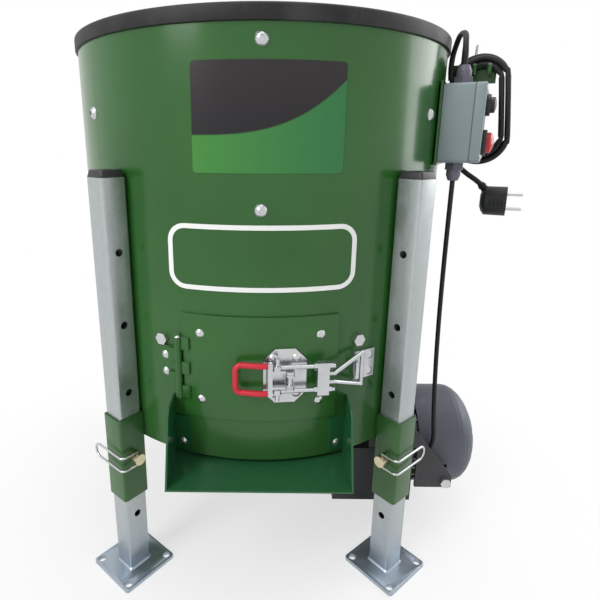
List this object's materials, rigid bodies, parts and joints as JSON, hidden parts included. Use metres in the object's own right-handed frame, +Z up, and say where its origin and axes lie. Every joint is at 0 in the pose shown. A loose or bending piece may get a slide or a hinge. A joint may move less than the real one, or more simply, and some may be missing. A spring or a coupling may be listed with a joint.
{
  "type": "walnut huller",
  "caption": "Open green drum on four pinned legs with a latched discharge door over a chute, a switch box and a worm-geared motor that turns a ribbed disc to strip walnut hulls.",
  "frame": {"origin": "on the ground under the drum's axis, at the middle of the four foot plates", "axes": "+Z up along the drum's axis, front with door and chute towards -Y, motor towards +X"},
  "size_m": [0.5887, 0.5459, 0.6802],
  "materials": {
    "green_paint": "semi-gloss enamel",
    "zinc_steel": "bright zinc plate",
    "yellow_zinc": "yellow zinc plate",
    "galvanised": "galvanised",
    "black_rubber": "matte",
    "liner_rubber": "matte",
    "cord_rubber": "satin",
    "red_vinyl": "satin",
    "black_plastic": "satin",
    "red_plastic": "gloss",
    "grey_plastic": "satin",
    "gland_plastic": "satin",
    "cast_grey": "rough cast",
    "bronze": "machined",
    "motor_alu": "cast",
    "grey_paint": "satin"
  },
  "bodies": {
    "frame": {"drum_shell": "green_paint", "rim_trim": "black_rubber", "drum_floor": "green_paint", "wall_liner": "liner_rubber", "wall_bolts": "zinc_steel", "wall_nuts": "zinc_steel", "door_frame": "green_paint", "hinge_leaf": "green_paint", "hinge_pin": "zinc_steel", "catch_plate": "zinc_steel", "body_rivets": "zinc_steel", "chute": "green_paint", "leg_sockets": "green_paint", "leg_front_left": "galvanised", "leg_front_right": "galvanised", "leg_rear_right": "galvanised", "leg_rear_left": "galvanised", "leg_caps": "black_plastic", "box_bracket": "green_paint", "switch_box": "grey_plastic", "box_lid": "grey_plastic", "switch_block": "black_plastic", "cable_glands": "gland_plastic", "cord_lead": "cord_rubber", "cord_hank": "cord_rubber", "cord_tail": "cord_rubber", "plug": "black_plastic", "gearbox_housing": "cast_grey", "gearbox_cover": "cast_grey", "drive_bearings": "zinc_steel", "shaft_seal": "black_rubber", "motor_housing": "motor_alu", "stator_core": "cast_grey", "fan_cowl": "grey_paint", "terminal_box": "black_plastic", "motor_cable": "cord_rubber", "motor_stay": "galvanised", "drive_bolts": "zinc_steel"},
    "rotor": {"huller_disc": "cast_grey", "output_shaft": "zinc_steel", "worm_wheel": "bronze"},
    "motor_shaft": {"motor_rotor": "zinc_steel", "motor_fan": "black_plastic"},
    "door": {"door_panel": "green_paint", "door_plug": "liner_rubber", "door_rivets": "zinc_steel", "latch_base": "zinc_steel"},
    "handle": {"latch_handle": "zinc_steel", "latch_grip": "red_vinyl"},
    "hook": {"pull_hook": "zinc_steel"},
    "start": {"start_button": "black_plastic"},
    "stop": {"stop_button": "red_plastic"},
    "pin_front_left": {"pin_front_left": "yellow_zinc"},
    "bail_front_left": {"bail_front_left": "zinc_steel"},
    "pin_front_right": {"pin_front_right": "yellow_zinc"},
    "bail_front_right": {"bail_front_right": "zinc_steel"},
    "pin_rear_right": {"pin_rear_right": "yellow_zinc"},
    "bail_rear_right": {"bail_rear_right": "zinc_steel"},
    "pin_rear_left": {"pin_rear_left": "yellow_zinc"},
    "bail_rear_left": {"bail_rear_left": "zinc_steel"}
  },
  "joints": [
    {"name": "rotor_spin", "type": "hinge", "parent": "frame", "child": "rotor", "pos_m": [0, 0, 0.2], "axis": [0, 0, 1], "continuous": true},
    {"name": "motor_spin", "type": "hinge", "parent": "frame", "child": "motor_shaft", "pos_m": [0, -0.055, 0.108], "axis": [1, 0, 0], "continuous": true},
    {"name": "door_swing", "type": "hinge", "parent": "frame", "child": "door", "pos_m": [-0.09221, -0.2328, 0.304], "axis": [0, 0, 1], "range_deg": [-75, 0]},
    {"name": "handle_swing", "type": "hinge", "parent": "door", "child": "handle", "pos_m": [0.03262, -0.25846, 0.29904], "axis": [0, 0, 1], "range_deg": [0, 110]},
    {"name": "hook_swing", "type": "hinge", "parent": "handle", "child": "hook", "pos_m": [0.01893, -0.25746, 0.29904], "axis": [0, 0, 1], "range_deg": [-110, 0]},
    {"name": "start_push", "type": "slide", "parent": "frame", "child": "start", "axis": [-0.9063, 0.4226, 0], "range_m": [0, 0.003], "stiffness_N_per_m": 400},
    {"name": "stop_push", "type": "slide", "parent": "frame", "child": "stop", "axis": [-0.9063, 0.4226, 0], "range_m": [0, 0.003], "stiffness_N_per_m": 400},
    {"name": "pin_front_left_pull", "type": "slide", "parent": "frame", "child": "pin_front_left", "axis": [0.766, -0.6428, 0], "range_m": [0, 0.05]},
    {"name": "bail_front_left_swing", "type": "hinge", "parent": "pin_front_left", "child": "bail_front_left", "pos_m": [-0.15042, -0.21645, 0.17], "axis": [0, 0, 1], "range_deg": [0, 110]},
    {"name": "pin_front_right_pull", "type": "slide", "parent": "frame", "child": "pin_front_right", "axis": [-0.766, -0.6428, 0], "range_m": [0, 0.05]},
    {"name": "bail_front_right_swing", "type": "hinge", "parent": "pin_front_right", "child": "bail_front_right", "pos_m": [0.15042, -0.21645, 0.17], "axis": [0, 0, 1], "range_deg": [-110, 0]},
    {"name": "pin_rear_right_pull", "type": "slide", "parent": "frame", "child": "pin_rear_right", "axis": [-0.766, 0.6428, 0], "range_m": [0, 0.05]},
    {"name": "bail_rear_right_swing", "type": "hinge", "parent": "pin_rear_right", "child": "bail_rear_right", "pos_m": [0.15042, 0.21645, 0.17], "axis": [0, 0, 1], "range_deg": [0, 110]},
    {"name": "pin_rear_left_pull", "type": "slide", "parent": "frame", "child": "pin_rear_left", "axis": [0.766, 0.6428, 0], "range_m": [0, 0.05]},
    {"name": "bail_rear_left_swing", "type": "hinge", "parent": "pin_rear_left", "child": "bail_rear_left", "pos_m": [-0.15042, 0.21645, 0.17], "axis": [0, 0, 1], "range_deg": [-110, 0]}
  ],
  "couplings": [
    {"joint": "motor_spin", "follows": "rotor_spin", "ratio": -5},
    {"joint": "hook_swing", "follows": "handle_swing", "ratio": -1}
  ]
}
